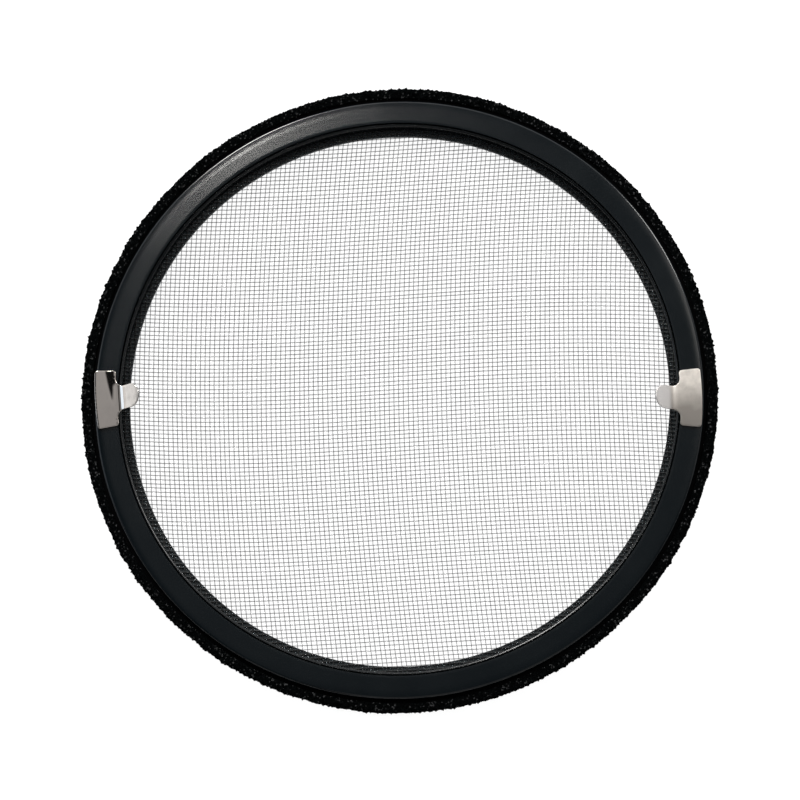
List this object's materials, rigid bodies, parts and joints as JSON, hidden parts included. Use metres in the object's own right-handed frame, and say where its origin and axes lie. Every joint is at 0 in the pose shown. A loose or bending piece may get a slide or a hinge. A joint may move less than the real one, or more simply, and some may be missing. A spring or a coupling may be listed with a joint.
{
  "type": "round insect screen",
  "caption": "Round framed insect screen: a black ring holding a woven mesh disc, with a foam sealing strip round its outer wall and two stainless pull tabs.",
  "frame": {"origin": "the ring's axis at the plane of its back, bottom centre of the whole part", "axes": "+Z out of the front face towards the user, along the ring's axis; +X towards the right-hand pull tab; +Y up the screen as it is seen from the front"},
  "size_m": [0.2124, 0.2124, 0.0127],
  "materials": {
    "ring_coating": "satin",
    "retainer_plastic": "satin",
    "mesh_thread": "satin",
    "tape": "matte",
    "foam": "matte",
    "stainless": "satin"
  },
  "bodies": {
    "root": {"frame_ring": "ring_coating", "retaining_ring": "retainer_plastic", "insect_mesh": "mesh_thread", "seal_tape": "tape", "foam_seal": "foam", "left_tab_pad": "tape", "right_tab_pad": "tape", "left_pull_tab": "stainless", "right_pull_tab": "stainless"}
  },
  "joints": []
}
